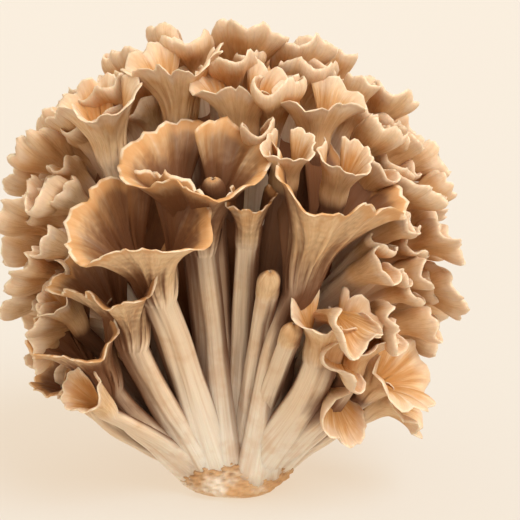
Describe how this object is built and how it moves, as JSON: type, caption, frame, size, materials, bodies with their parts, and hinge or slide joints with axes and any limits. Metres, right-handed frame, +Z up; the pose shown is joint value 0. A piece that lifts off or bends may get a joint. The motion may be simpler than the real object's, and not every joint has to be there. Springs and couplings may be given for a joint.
{
  "type": "maitake mushroom",
  "caption": "Dense round maitake mushroom head of overlapping ruffled fronds that fan out on pale stems from a rough stump with a flat cut face.",
  "frame": {"origin": "middle of the flat cut face under the stump, where the mushroom rests", "axes": "+Z up out of the stump, -Y towards the full front with the open view of the stems, +X to the right seen from the front"},
  "size_m": [0.1853, 0.1928, 0.1915],
  "materials": {
    "flesh": "dry fibrous flesh, cream stems and light brown caps"
  },
  "bodies": {
    "root": {"maitake_cluster": "flesh"}
  },
  "joints": []
}
